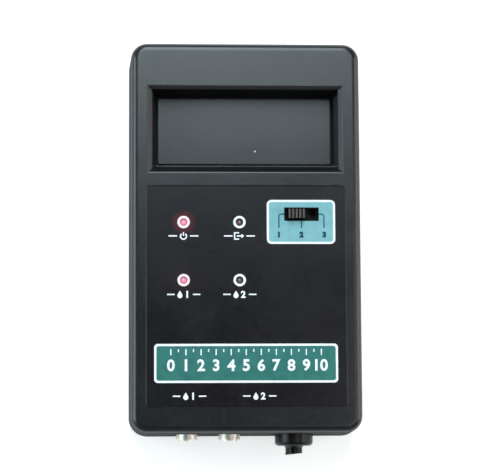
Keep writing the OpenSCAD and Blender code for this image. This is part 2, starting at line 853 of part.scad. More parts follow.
// Knob with its carriage. Its ribs run across the travel.
module switch_knob() {
    rib_w = knob_w / (2 * knob_ribs - 1);
    color([0.1, 0.1, 0.1]) translate([knob_x, switch_y, 0]) {
        layer(carriage_w, carriage_l, carriage_z, carriage_top);
        layer(knob_w, knob_l, carriage_top - sunk, knob_top - rib_h);
        for (i = [0 : knob_ribs - 1])
            translate([-knob_w / 2 + rib_w / 2 + 2 * i * rib_w, 0, 0])
                layer(rib_w, knob_l, knob_top - rib_h - sunk, knob_top);
    }
}

// Socket pieces are built along +Z, out of the wall, from the flat seat at zero
module socket_sleeve() {
    difference() {
        union() {
            post(sleeve_d / 2, -sleeve_in, sleeve_out);
            post(collar_d / 2, -socket_body_from, -socket_wall);
        }
        post(bore_r, -sleeve_in - past, sleeve_out + past);
    }
}

// Round nut with two wrench slots
module socket_nut() {
    difference() {
        post(nut_d / 2, 0, nut_h);
        post(sleeve_d / 2, -past, nut_h + past);
        layer(nut_d + past, nut_slot_w, nut_h - nut_slot_h, nut_h + past);
    }
}

module socket_housing() {
    difference() {
        layer(socket_body_w, socket_body_w, -sleeve_in - socket_back, -socket_body_from);
        post(sleeve_d / 2, -sleeve_in, -socket_body_from + past);
        for (x = [-1, 1])
            translate([x * lug_x, 0, 0])
                layer(lug_t, lug_w, -sleeve_in - socket_back - past, -sleeve_in + past);
    }
}

// Two solder lugs that pass through the back of the housing
module socket_contact() {
    for (x = [-1, 1])
        translate([x * lug_x, 0, 0]) layer(lug_t, lug_w, -sleeve_in - socket_back - lug_l, -sleeve_in);
}

module at_socket(x) {
    out_of_end(x, socket_seat_y) children();
}

module socket_1_sleeve() {
    color([0.78, 0.76, 0.7]) at_socket(-socket_1_x) socket_sleeve();
}

module socket_1_nut() {
    color([0.85, 0.84, 0.8]) at_socket(-socket_1_x) socket_nut();
}

module socket_1_housing() {
    color([0.1, 0.1, 0.1]) at_socket(-socket_1_x) socket_housing();
}

module socket_1_contact() {
    color([0.8, 0.75, 0.55]) at_socket(-socket_1_x) socket_contact();
}

module socket_2_sleeve() {
    color([0.78, 0.76, 0.7]) at_socket(-socket_2_x) socket_sleeve();
}

module socket_2_nut() {
    color([0.85, 0.84, 0.8]) at_socket(-socket_2_x) socket_nut();
}

module socket_2_housing() {
    color([0.1, 0.1, 0.1]) at_socket(-socket_2_x) socket_housing();
}

module socket_2_contact() {
    color([0.8, 0.75, 0.55]) at_socket(-socket_2_x) socket_contact();
}

// Wires from the sockets' lugs down to the main board
module socket_wires() {
    lug_end_y = socket_seat_y + sleeve_in + socket_back + lug_l;
    color([0.7, 0.1, 0.1])
        for (x = [-socket_1_x, -socket_2_x], side = [-1, 1])
            translate([x + side * lug_x, lug_end_y + wire_r, 0])
                post(wire_r, main_board_z, port_z + lug_w / 2);
}

// The whole bushing as one turned form, built along +Z from the flat seat at
// zero, before its wedge is parted from it
module bushing_form() {
    head_r = bushing_head_d / 2;
    latch_r = neck_r + latch_rise;
    difference() {
        rotate_extrude() polygon(concat(
            [[0, -bushing_in], [neck_r - latch_rise, -bushing_in], [latch_r, -bushing_wall - latch_h]],
            [[latch_r, -bushing_wall], [neck_r, -bushing_wall], [neck_r, 0], [head_r, 0]],
            arc(head_r - bushing_edge, bushing_head_h - bushing_edge, bushing_edge, 0, 90, 6),
            [[nose_d / 2 + nose_foot, bushing_head_h], [nose_d / 2, bushing_head_h + nose_foot]],
            nose_profile(),
            [[nose_d / 2, nose_h], [0, nose_h]]
        ));
        translate([-nose_d / 2, 0, nose_h]) rotate([0, nose_slant, 0])
            translate([-nose_d, -nose_d, 0]) cube(3 * nose_d);
    }
}

// Outline of the grooves round the nose, from its cone-shaped foot to the tip
function nose_profile() =
    let (from = bushing_head_h + nose_foot, pitch = (nose_h - from) / (nose_rings + 1), r = nose_d / 2)
    [for (i = [0 : nose_rings - 1], p = [[0, 0.3], [-nose_ring_h, 0.45], [-nose_ring_h, 0.65], [0, 0.8]])
        [r + p[0], from + (i + p[1]) * pitch]];

// Space of the wedge that closes the bushing's head on one side
module wedge_space(gap) {
    translate([wedge_from, 0, bushing_head_h / 2]) rotate([0, wedge_tilt, 0])
        translate([gap, -bushing_head_d, -bushing_head_h / 2 + wedge_floor])
            cube([bushing_head_d, 2 * bushing_head_d, 2 * bushing_head_h]);
}

module cord_bushing() {
    color([0.04, 0.04, 0.045]) out_of_end(bushing_x, bushing_seat_y) difference() {
        bushing_form();
        wedge_space(0);
        post(cord_bore / 2, -bushing_in - past, nose_h + past);
    }
}

module bushing_wedge() {
    color([0.06, 0.06, 0.065]) out_of_end(bushing_x, bushing_seat_y) intersection() {
        bushing_form();
        wedge_space(wedge_gap);
    }
}

module main_board() {
    color([0.12, 0.36, 0.2]) difference() {
        layer(main_board_w, main_board_l, main_board_z - board_t, main_board_z);
        at_corners(main_screw_span_x, main_screw_span_y)
            post(board_clear_r, main_board_z - board_t - past, main_board_z + past);
    }
}

module on_board(x, y) {
    translate([x, y, main_board_z]) children();
}

module transformer_core() {
    opening_h = core_h - 2 * core_limb;
    color([0.45, 0.45, 0.47]) on_board(transformer_x, transformer_y) difference() {
        slab(core_w, core_l, core_h);
        for (x = [-1, 1])
            translate([x * (core_limb + core_window / 2), 0, core_limb])
                slab(core_window, core_l + 2 * past, opening_h);
    }
}

// Winding round the middle limb, standing on the lower yoke
module transformer_coil() {
    coil_h = core_h - 2 * core_limb - coil_gap;
    color([0.85, 0.6, 0.2]) on_board(transformer_x, transformer_y)
        translate([0, 0, core_limb]) difference() {
            round_slab(2 * (core_limb + coil_wrap), core_l + 2 * coil_wrap, coil_h, coil_wrap / 2);
            layer(2 * (core_limb + coil_gap), core_l + 2 * coil_gap, -past, coil_h + past);
        }
}

module relay() {
    color([0.15, 0.25, 0.55]) on_board(relay_x, relay_y) round_slab(relay_w, relay_l, relay_h, relay_edge_r);
}

module at_fuse_ends() {
    on_board(fuse_x, main_board_low + fuse_from_low)
        for (y = [-1, 1])
            translate([0, y * (fuse_l - fuse_cap_l) / 2, 0]) children();
}

// Glass tube with a metal cap on each end
module fuse() {
    color([0.8, 0.8, 0.78]) {
        on_board(fuse_x, main_board_low + fuse_from_low) translate([0, 0, fuse_lift])
            rotate([90, 0, 0]) cylinder(r = fuse_glass_r, h = fuse_l - 2 * fuse_cap_end, center = true);
        at_fuse_ends() translate([0, 0, fuse_lift])
            rotate([90, 0, 0]) cylinder(r = fuse_r, h = fuse_cap_l, center = true);
    }
}

module fuse_clips() {
    color([0.75, 0.72, 0.6]) at_fuse_ends() difference() {
        slab(2 * (fuse_r + clip_t), clip_l, fuse_lift + clip_rise);
        translate([0, 0, fuse_lift])
            rotate([90, 0, 0]) cylinder(r = fuse_r, h = clip_l + 2 * past, center = true);
    }
}

module block_poles() {
    for (i = [0 : block_poles - 1])
        translate([(i - (block_poles - 1) / 2) * block_w / block_poles, 0, 0]) children();
}

module terminal_block() {
    color([0.1, 0.45, 0.25]) on_board(block_x, main_board_low + block_from_low) difference() {
        slab(block_w, block_l, block_h);
        block_poles() {
            post(block_screw_r, block_h - block_screw_sink, block_h + past);
            translate([0, -block_l / 2 - past, block_entry_z]) rotate([-90, 0, 0])
                cylinder(r = block_entry_r, h = block_l - block_back + past);
        }
    }
}

module terminal_screws() {
    color([0.7, 0.7, 0.68]) on_board(block_x, main_board_low + block_from_low)
        translate([0, 0, block_h - block_screw_sink]) block_poles() difference() {
            cylinder(r = block_screw_r, h = block_screw_h);
            layer(2 * block_screw_r + past, block_slot_w, block_screw_h - block_slot_h, block_screw_h + past);
        }
}

module control_chip() {
    color([0.08, 0.08, 0.08]) on_board(0, main_board_top - chip_from_top) {
        layer(chip_w, chip_l, chip_lift, chip_lift + chip_h);
        for (i = [0 : chip_pins - 1], y = [-1, 1])
            translate([(i - (chip_pins - 1) / 2) * lead_pitch, y * (chip_l / 2 + pin_t / 2 - pin_sunk), 0])
                slab(pin_w, pin_t, chip_lift + chip_h / 2);
    }
}

module capacitor(r, h) {
    edge = capacitor_edge_r;
    rotate_extrude() polygon(concat(
        [[0, 0]], arc(r - edge, edge, edge, -90, 0, 3), arc(r - edge, h - edge, edge, 0, 90, 3), [[0, h]]
    ));
}

module large_capacitor() {
    color([0.1, 0.15, 0.35]) on_board(large_capacitor_x, capacitor_y)
        capacitor(large_capacitor_r, large_capacitor_h);
}

module small_capacitor() {
    color([0.1, 0.15, 0.35]) on_board(small_capacitor_x, capacitor_y)
        capacitor(small_capacitor_r, small_capacitor_h);
}

module rectifier_diodes() {
    x = main_board_right - diodes_from_right;
    color([0.1, 0.1, 0.1])
        for (i = [0 : diode_count - 1])
            translate([x, main_board_top - diodes_from_top + i * diode_pitch, 0])
                axial_part(diode_r, diode_l, diode_lift, diode_lead_pitch, main_board_z, main_board_z);
}

// Small regulator with a flat front, on three leads
module voltage_regulator() {
    regulator_x = main_board_right - regulator_from_right;
    color([0.08, 0.08, 0.08]) on_board(regulator_x, main_board_top - regulator_from_top) {
        difference() {
            post(regulator_r, regulator_lift, regulator_lift + regulator_h);
            translate([-regulator_r, -regulator_flat - regulator_r, regulator_lift - past])
                cube([2 * regulator_r, regulator_r, regulator_h + 2 * past]);
        }
        for (x = [-1, 0, 1])
            translate([x * regulator_pitch, 0, 0]) cylinder(r = lead_r, h = regulator_lift + sunk);
    }
}

module board_resistors() {
    x = resistors_from_left - main_board_right;
    color([0.75, 0.66, 0.5])
        for (i = [0 : resistor_count - 1])
            translate([x, main_board_top - resistors_from_top + i * resistor_row_pitch, 0])
                resistor(main_board_z, main_board_z);
}

// Flat cable between the boards, with two bends
module ribbon_cable() {
    half = cable_t / 2;
    cable_top = lamp_board_z - board_t;
    mid_z = (main_board_z + cable_top) / 2;
    head_y = cable_foot_y - cable_run;
    color([0.55, 0.55, 0.57]) rotate([90, 0, 90]) linear_extrude(cable_w, center = true) polygon(concat(
        [[cable_foot_y + half, main_board_z]],
        arc(cable_foot_y - cable_r, mid_z - cable_r, cable_r + half, 0, 90, 8),
        arc(head_y + cable_r, mid_z + cable_r, cable_r - half, 270, 180, 8),
        [[head_y + half, cable_top], [head_y - half, cable_top]],
        arc(head_y + cable_r, mid_z + cable_r, cable_r + half, 180, 270, 8),
        arc(cable_foot_y - cable_r, mid_z - cable_r, cable_r - half, 90, 0, 8),
        [[cable_foot_y - half, main_board_z]]
    ));
}

front_case();
rear_case();
case_screws();
label_overlay();
display_blank();
blank_screws();
indicator_board();
indicator_board_screws();
lamp_power();
lamp_output();
lamp_sensor_1();
lamp_sensor_2();
lamp_resistors();
switch_housing();
switch_base();
switch_terminals();
switch_knob();
switch_contact();
socket_1_sleeve();
socket_1_nut();
socket_1_housing();
socket_1_contact();
socket_2_sleeve();
socket_2_nut();
socket_2_housing();
socket_2_contact();
cord_bushing();
bushing_wedge();
main_board();
main_board_screws();
transformer_core();
transformer_coil();
relay();
fuse();
fuse_clips();
terminal_block();
terminal_screws();
control_chip();
large_capacitor();
small_capacitor();
rectifier_diodes();
voltage_regulator();
board_resistors();
ribbon_cable();
socket_wires();
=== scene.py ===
import math
import bpy
from mathutils import Matrix, Vector


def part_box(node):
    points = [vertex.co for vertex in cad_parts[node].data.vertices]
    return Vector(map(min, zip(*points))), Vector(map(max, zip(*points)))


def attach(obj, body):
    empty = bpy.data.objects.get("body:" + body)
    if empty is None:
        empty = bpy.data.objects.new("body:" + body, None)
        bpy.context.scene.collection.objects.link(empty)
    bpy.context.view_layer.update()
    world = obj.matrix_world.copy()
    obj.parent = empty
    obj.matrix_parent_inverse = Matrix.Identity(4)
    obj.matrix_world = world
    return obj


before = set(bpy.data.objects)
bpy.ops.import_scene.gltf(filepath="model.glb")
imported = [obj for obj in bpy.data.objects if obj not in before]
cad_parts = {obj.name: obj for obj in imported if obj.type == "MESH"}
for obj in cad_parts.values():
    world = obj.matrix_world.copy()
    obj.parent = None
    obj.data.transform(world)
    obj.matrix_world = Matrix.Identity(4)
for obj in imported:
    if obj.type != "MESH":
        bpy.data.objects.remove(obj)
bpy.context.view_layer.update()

MM = 0.001


def centre(node):
    """Middle of a node in plan, in millimetres of the row frame."""
    low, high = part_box(node)
    return (low[0] + high[0]) / 2 / MM, (low[1] + high[1]) / 2 / MM


# Places on the case, in millimetres of the row frame
FACE_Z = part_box("front_case")[1][2] / MM
LABEL_TOP_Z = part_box("label_overlay")[1][2] / MM
LAMPS = {name: centre(f"lamp_{name}") for name in ("power", "output", "sensor_1", "sensor_2")}
LIT_LAMPS = ("power", "sensor_1")
SWITCH = centre("switch_housing")
SLOT = (12.9, 5.0)
SPECK = (4.06, 33.6)

# The display well: half sizes of the panel's raised pad, depth of the window's bevel, and how far
# above the panel's middle the upper bevel starts
PAD = (33.09, 12.49)
BEVEL_DEPTH = 1.6
BEVEL_FOOT_Y = 14.5

# Reach of the painted shade, painted highlight and painted glow, in millimetres
SOFT_EDGE = 0.2
WELL_MARGIN = 4
WELL_FOOT_HEIGHT = 1.2
STRIP_WIDTH = 1.6
PANEL_EDGE = 0.45
HALO_FROM = 1.8
HALO_TO = 5.4

# Thickness of the borders and rings, and of the print on top of them or on the bare label
FILM = 0.03
PRINT = 0.02

# Layout of the print. A plate has its middle x and y, width, length and corner radius
RING_OUTER = 2.32
RING_INNER = 1.43
CIRCLE_STEPS = 64
FIGURE_HEIGHT = 0.7
SWITCH_PLATE = (20.6, 5.24, 25.7, 16.6, 1.8)
SWITCH_BORDER = 0.82
SWITCH_CORNER_STEP = 0.7
SLOT_GAP = 0.05
SLOT_CORNER = 0.12
LEADER_LEFT_X = 12.28
LEADER_RIGHT_X = 29.22
LEADER_FOOT_Y = 2.95
LEADER_BEND = 0.9
LEADER_WIDTH = 0.52
SWITCH_NUMBERS = (("1", LEADER_LEFT_X), ("2", 20.75), ("3", LEADER_RIGHT_X + 0.1))
SWITCH_NUMBER_Y = 0.43
SWITCH_NUMBER_HEIGHT = 2.3
SWITCH_NUMBER_BOLD = 0.28
SCALE_PLATE = (-0.2, -47.65, 68.4, 14.5, 1.4)
SCALE_BORDER = 0.85
SCALE_CORNER_STEP = 0.5
SCALE_SPAN = 56.0
SCALE_STEPS = 10
SCALE_NUMBER_DROP = 0.7
SCALE_NUMBER_HEIGHT = 4.4
SCALE_NUMBER_BOLD = 0.2
TICK_TOP = 5.3
LONG_TICK_FOOT = 3.0
SHORT_TICK_FOOT = 4.2
TICK_WIDTH = 0.45

# The signs: height, places, and from where to where the short lines beside each of them reach
SIGN = 2.8
SIGN_STROKE = 0.17 * SIGN
RULE_WIDTH = 0.5
TOP_ROW_Y = -0.07
POWER_X = -23.45
POWER_RULES = (2.4, 5.6)
OUTPUT_X = -2.5
OUTPUT_RULES = (2.6, 5.8)
ARROW_SHIFT = -0.3
DROP_SIGNS = (("level", -22.0, (-23.4, -2.5)), ("socket", -59.8, (-21.3, 4.7)))
DROP_RULES = (3.4, 6.2)
DROP_SHIFT = -1.4
SIGN_NUMBER_SHIFT = 1.3
SIGN_NUMBER_HEIGHT = 0.95 * SIGN
SIGN_NUMBER_BOLD = 0.16

# Area lights: name, place in metres, width and height, watts and colour. All face the same target
LIGHT_TARGET = (0, 0, 0.02)
LIGHTS = (
    ("key", (-0.02, 0.69, 0.968), (0.55, 0.96), 10.8, (0.79, 0.94, 1.0)),
    ("left", (-1.04, 0.02, 0.62), (0.9, 0.78), 8.6, (0.74, 0.92, 1.0)),
    ("high right", (0.4, -0.14, 1.1), (0.8, 0.4), 1.5, (1, 0.96, 0.92)),
    ("right", (1.05, 0.0, 0.66), (0.9, 0.55), 4.1, (1, 0.96, 0.92)),
    ("low right", (1.15, 0.05, 0.22), (0.8, 0.36), 1.5, (1, 0.97, 0.94)),
)
SKY = (0.95, 0.98, 1.0)
WHITE = (1.0, 1.0, 1.0)

# Camera fitted to measured places in the photo: metres, radians and millimetres
CAMERA_PLACE = (-0.03865, -0.0864, 0.7866)
CAMERA_TURN = (0.11537, -0.05283, -0.00553)
FOCAL_LENGTH = 145.29
SENSOR_WIDTH = 36

# The floor: half size and drop in metres, its glow where a ray sees it, and its whitening far away
FLOOR_HALF = 3.0
FLOOR_DROP = 0.0002
FLOOR_GLOW = 0.56
FAR_GLOW = 0.44
FAR_FROM_MM = 500
FAR_TO_MM = 1100


def new_material(name):
    material = bpy.data.materials.new(name)
    material.use_nodes = True
    tree = material.node_tree
    tree.nodes.clear()
    out = tree.nodes.new("ShaderNodeOutputMaterial")
    shader = tree.nodes.new("ShaderNodeBsdfPrincipled")
    tree.links.new(shader.outputs["BSDF"], out.inputs["Surface"])
    return material, tree, shader


def object_coords(tree, stretch=(1, 1, 1)):
    """Place on the piece in the row frame, in metres."""
    coords = tree.nodes.new("ShaderNodeTexCoord")
    mapping = tree.nodes.new("ShaderNodeMapping")
    mapping.inputs["Scale"].default_value = stretch
    tree.links.new(coords.outputs["Object"], mapping.inputs["Vector"])
    return mapping.outputs["Vector"]


def split_xyz(tree, vector):
    node = tree.nodes.new("ShaderNodeSeparateXYZ")
    tree.links.new(vector, node.inputs["Vector"])
    return [node.outputs[axis] for axis in "XYZ"]


def noise(tree, coords, size_mm, detail=3.0, rough=0.5):
    node = tree.nodes.new("ShaderNodeTexNoise")
    node.inputs["Scale"].default_value = 1 / (size_mm * MM)
    node.inputs["Detail"].default_value = detail
    node.inputs["Roughness"].default_value = rough
    tree.links.new(coords, node.inputs["Vector"])
    return node.outputs["Fac"]


def cells(tree, coords, size_mm):
    node = tree.nodes.new("ShaderNodeTexVoronoi")
    node.inputs["Scale"].default_value = 1 / (size_mm * MM)
    tree.links.new(coords, node.inputs["Vector"])
    return node.outputs["Distance"]


def bands(tree, coords, size_mm, axis, wobble=0.0):
    """Parallel bands. At scale 1, a wave texture has a band every 0.314 units."""
    wave_spacing = 0.314
    node = tree.nodes.new("ShaderNodeTexWave")
    node.wave_type = "BANDS"
    node.bands_direction = axis
    node.inputs["Scale"].default_value = wave_spacing / (size_mm * MM)
    node.inputs["Distortion"].default_value = wobble
    tree.links.new(coords, node.inputs["Vector"])
    return node.outputs["Fac"]


def math_node(tree, operation, first, second=None):
    node = tree.nodes.new("ShaderNodeMath")
    node.operation = operation
    for socket, value in zip(node.inputs, (first, second)):
        if value is None:
            continue
        if isinstance(value, (int, float)):
            socket.default_value = value
        else:
            tree.links.new(value, socket)
    return node.outputs["Value"]


def add(tree, first, second):
    return math_node(tree, "ADD", first, second)


def times(tree, first, second):
    return math_node(tree, "MULTIPLY", first, second)


def larger(tree, first, second):
    return math_node(tree, "MAXIMUM", first, second)


def away_from(tree, value, middle):
    return math_node(tree, "ABSOLUTE", math_node(tree, "SUBTRACT", value, middle))


def spread(tree, value, low, high, from_low=0.3, from_high=0.7):
    """Map a value onto a range, with soft ends."""
    node = tree.nodes.new("ShaderNodeMapRange")
    node.interpolation_type = "SMOOTHSTEP"
    node.inputs["From Min"].default_value = from_low
    node.inputs["From Max"].default_value = from_high
    node.inputs["To Min"].default_value = low
    node.inputs["To Max"].default_value = high
    tree.links.new(value, node.inputs["Value"])
    return node.outputs["Result"]


def rising(tree, value, start=0.3, end=0.7, top=1.0):
    """0 up to the start, the top value from the end on."""
    return spread(tree, value, 0.0, top, start, end)


def falling(tree, value, start, end, top=1.0):
    """The top value up to the start, 0 from the end on."""
    return spread(tree, value, top, 0.0, start, end)


def mix_colours(tree, share, first, second):
    node = tree.nodes.new("ShaderNodeMix")
    node.data_type = "RGBA"
    for name, value in (("Factor", share), ("A", first), ("B", second)):
        kind = "VALUE" if name == "Factor" else "RGBA"
        socket = next(s for s in node.inputs if s.name == name and s.type == kind)
        if isinstance(value, tuple):
            socket.default_value = (*value, 1)
        else:
            tree.links.new(value, socket)
    return next(s for s in node.outputs if s.type == "RGBA")


def distance_from(tree, x_mm, y_mm):
    """Distance in plan from a place, in millimetres."""
    coords = tree.nodes.new("ShaderNodeTexCoord")
    offset = tree.nodes.new("ShaderNodeVectorMath")
    offset.operation = "SUBTRACT"
    offset.inputs[1].default_value = (x_mm * MM, y_mm * MM, 0)
    flatten = tree.nodes.new("ShaderNodeVectorMath")
    flatten.operation = "MULTIPLY"
    flatten.inputs[1].default_value = (1 / MM, 1 / MM, 0)
    length = tree.nodes.new("ShaderNodeVectorMath")
    length.operation = "LENGTH"
    tree.links.new(coords.outputs["Object"], offset.inputs[0])
    tree.links.new(offset.outputs["Vector"], flatten.inputs[0])
    tree.links.new(flatten.outputs["Vector"], length.inputs[0])
    return length.outputs["Value"]


def paint(tree, shader, colour, roughness):
    tree.links.new(colour, shader.inputs["Base Color"])
    tree.links.new(roughness, shader.inputs["Roughness"])


def bump(tree, shader, height, depth_mm, strength=1.0):
    node = tree.nodes.new("ShaderNodeBump")
    node.inputs["Strength"].default_value = strength
    node.inputs["Distance"].default_value = depth_mm * MM
    tree.links.new(height, node.inputs["Height"])
    tree.links.new(node.outputs["Normal"], shader.inputs["Normal"])


def set_sockets(shader, **values):
    for name, value in values.items():
        shader.inputs[name.replace("_", " ")].default_value = value


def plain_finish(name, dark, light, roughness, grain_mm=0.3, patch_mm=9, depth_mm=0.03, **sockets):
    """A surface with fine grain, larger patches of colour and a roughness that follows them."""
    material, tree, shader = new_material(name)
    coords = object_coords(tree)
    patches = noise(tree, coords, patch_mm, detail=4)
    grain = noise(tree, coords, grain_mm, detail=3, rough=0.6)
    blend = add(tree, times(tree, patches, 0.6), times(tree, grain, 0.4))
    paint(tree, shader, mix_colours(tree, rising(tree, blend), dark, light),
          spread(tree, patches, roughness - 0.06, roughness + 0.06))
    bump(tree, shader, grain, depth_mm)
    set_sockets(shader, **sockets)
    return material


def moulded(name, dark, light, roughness, grain_mm, depth_mm, **sockets):
    """Textured moulding: pebbled grain over soft mottling, coarser on walls that slide in the mould."""
    material, tree, shader = new_material(name)
    coords = object_coords(tree)
    patches = noise(tree, coords, 14, detail=5, rough=0.62)
    mottle = noise(tree, coords, 1.6, detail=4, rough=0.65)
    blend = add(tree, times(tree, patches, 0.45), times(tree, mottle, 0.55))
    colour = mix_colours(tree, rising(tree, blend, 0.36, 0.66), dark, light)
    geometry = tree.nodes.new("ShaderNodeNewGeometry")
    upright = math_node(tree, "ABSOLUTE", split_xyz(tree, geometry.outputs["Normal"])[2])
    coarse = falling(tree, upright, 0.0, 0.6, top=0.75)
    broad_gloss = noise(tree, coords, 16, detail=1.5, rough=0.4)
    fine_gloss = noise(tree, coords, 2.4, detail=2)
    gloss = add(tree, times(tree, broad_gloss, 0.5), times(tree, fine_gloss, 0.5))
    paint(tree, shader, colour,
          add(tree, spread(tree, gloss, roughness - 0.03, roughness + 0.03), coarse))
    pebbles = cells(tree, coords, grain_mm)
    fine = noise(tree, coords, grain_mm * 0.5, detail=2)
    bump(tree, shader, add(tree, pebbles, times(tree, fine, 0.8)), depth_mm)
    set_sockets(shader, **sockets)
    return material, tree, shader


def well_mask(tree, x, y, z):
    """Where the well's painted shade goes: 1 on the upper wall of the display well and round its foot,
    less on its left wall, 0 elsewhere.
    """
    middle = centre("display_blank")
    pad_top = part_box("display_blank")[1][2]
    bevel_foot = FACE_Z - BEVEL_DEPTH
    mask = falling(tree, z, (bevel_foot - SOFT_EDGE) * MM, bevel_foot * MM)
    for place, half, here in zip((x, y), PAD, middle):
        reach = half + WELL_MARGIN
        aside = away_from(tree, place, here * MM)
        mask = times(tree, mask, falling(tree, aside, reach * MM, (reach + SOFT_EDGE) * MM))
    upper_edge, left_edge = middle[1] + PAD[1], middle[0] - PAD[0]
    upper = rising(tree, y, upper_edge * MM, (upper_edge + SOFT_EDGE) * MM)
    left = falling(tree, x, (left_edge - SOFT_EDGE) * MM, left_edge * MM, top=0.6)
    foot = falling(tree, z, pad_top, pad_top + WELL_FOOT_HEIGHT * MM)
    return times(tree, mask, larger(tree, larger(tree, upper, left), foot))


def upper_bevel_mask(tree, x, y, z):
    """Where the painted highlight goes: 1 on the bevel at the window's upper edge, fading towards its
    ends.
    """
    middle = centre("display_blank")
    foot_y = middle[1] + BEVEL_FOOT_Y
    end_y = foot_y + STRIP_WIDTH
    height = times(tree, rising(tree, z, (FACE_Z - BEVEL_DEPTH) * MM, (FACE_Z - 1.3) * MM),
                   falling(tree, z, (FACE_Z - 0.3) * MM, (FACE_Z - 0.05) * MM))
    width = times(tree, rising(tree, y, (foot_y - SOFT_EDGE) * MM, foot_y * MM),
                  falling(tree, y, end_y * MM, (end_y + SOFT_EDGE) * MM))
    across = away_from(tree, x, middle[0] * MM)
    within = falling(tree, across, (PAD[0] + 1.2) * MM, (PAD[0] + 3) * MM)
    return times(tree, times(tree, height, width), within)


def case_material():
    """Moulded case, with painted shade inside the display well, where a near-black matte finish covers its
    walls and foot, and a painted highlight that makes the window's upper bevel paler.
    """
    material, tree, shader = moulded(
        "case_plastic", dark=(0.0065, 0.007, 0.0082), light=(0.0125, 0.0135, 0.0148), roughness=0.21,
        grain_mm=0.45, depth_mm=0.02, Specular_IOR_Level=0.55)
    coords = object_coords(tree)
    x, y, z = split_xyz(tree, coords)
    plain = shader.inputs["Base Color"].links[0].from_socket
    # Painted highlight: a paler strip on the bevel at the window's upper edge
    tree.links.new(mix_colours(tree, upper_bevel_mask(tree, x, y, z), plain, (0.042, 0.043, 0.045)),
                   shader.inputs["Base Color"])
    # Painted shade for the well's walls and foot: a near-black matte finish, whose dust noise is only a
    # faint mottle in that shade
    matte = tree.nodes.new("ShaderNodeBsdfPrincipled")
    dust = rising(tree, noise(tree, coords, 2.5, detail=4), 0.35, 0.65)
    paint(tree, matte, mix_colours(tree, dust, (0.0015, 0.0015, 0.0015), (0.004, 0.004, 0.004)),
          spread(tree, dust, 0.75, 0.85))
    set_sockets(matte, Specular_IOR_Level=0.15)
    mix = tree.nodes.new("ShaderNodeMixShader")
    tree.links.new(well_mask(tree, x, y, z), mix.inputs["Fac"])
    tree.links.new(shader.outputs["BSDF"], mix.inputs[1])
    tree.links.new(matte.outputs["BSDF"], mix.inputs[2])
    out = next(n for n in tree.nodes if n.type == "OUTPUT_MATERIAL")
    tree.links.new(mix.outputs["Shader"], out.inputs["Surface"])
    return material


def label_material():
    """Matte printed film. The lit lamps cast a faint red halo on it."""
    material, tree, shader = moulded(
        "label_film", dark=(0.004, 0.0035, 0.0055), light=(0.0085, 0.0073, 0.0098), roughness=0.24,
        grain_mm=0.32, depth_mm=0.015, Specular_IOR_Level=0.33)
    halos = [falling(tree, distance_from(tree, *LAMPS[name]), HALO_FROM, HALO_TO, top=strength)
             for name, strength in (("power", 0.13), ("sensor_1", 0.02))]
    shader.inputs["Emission Color"].default_value = (0.62, 0.03, 0.08, 1)
    tree.links.new(add(tree, *halos), shader.inputs["Emission Strength"])
    return material


def lamp_material(name, place, core, rim, glow, strength):
    """Coloured lens, paler in the middle and darker at its rim. On a lit lamp the paler middle is where
    its die glows; on a dark lamp it is a painted highlight.
    """
    material, tree, shader = new_material(name)
    wisps = noise(tree, object_coords(tree), 0.7, detail=2)
    radius = add(tree, distance_from(tree, *place), times(tree, wisps, 0.3))
    die_glow_and_highlight = falling(tree, radius, 0.6, 1.7)
    paint(tree, shader, mix_colours(tree, die_glow_and_highlight, rim, core), spread(tree, wisps, 0.14, 0.24))
    rim_glow = tuple(0.95 * c for c in glow)
    tree.links.new(mix_colours(tree, die_glow_and_highlight, rim_glow, glow), shader.inputs["Emission Color"])
    set_sockets(shader, Emission_Strength=strength, Coat_Weight=0.45, Coat_Roughness=0.08, IOR=1.5)
    return material


def ink(name, dark, light):
    """Screen print: nearly even colour, thinner over the film's texture."""
    material, tree, shader = new_material(name)
    coords = object_coords(tree)
    weave = noise(tree, coords, 0.25)
    cloud = noise(tree, coords, 3.5)
    blend = add(tree, times(tree, weave, 0.5), times(tree, cloud, 0.5))
    paint(tree, shader, mix_colours(tree, rising(tree, blend, 0.34, 0.6), dark, light),
          spread(tree, cloud, 0.42, 0.58))
    bump(tree, shader, cells(tree, coords, 0.32), depth_mm=0.02, strength=0.6)
    set_sockets(shader, Specular_IOR_Level=0.2)
    return material


def turned_metal(name, dull, bright, roughness):
    """Plated metal with fine turning rings along Y and a little tarnish."""
    material, tree, shader = new_material(name)
    coords = object_coords(tree)
    tarnish = noise(tree, coords, 2.2, detail=4, rough=0.6)
    paint(tree, shader, mix_colours(tree, rising(tree, tarnish, 0.38, 0.62), bright, dull),
          spread(tree, tarnish, roughness - 0.06, roughness + 0.12))
    bump(tree, shader, bands(tree, coords, 0.35, "Y", wobble=0.4), depth_mm=0.02, strength=0.7)
    set_sockets(shader, Metallic=1.0)
    return material


def screw_steel():
    """Zinc-plated steel, brushed by the tumbler, with a bluish cast in places."""
    material, tree, shader = new_material("zinc_steel")
    scratches = noise(tree, object_coords(tree, stretch=(1, 6, 1)), 0.5, detail=4, rough=0.7)
    cast = rising(tree, noise(tree, object_coords(tree), 2.5))
    paint(tree, shader, mix_colours(tree, cast, (0.5, 0.5, 0.49), (0.66, 0.67, 0.7)),
          spread(tree, scratches, 0.22, 0.42))
    bump(tree, shader, scratches, depth_mm=0.01, strength=0.6)
    set_sockets(shader, Metallic=1.0)
    return material


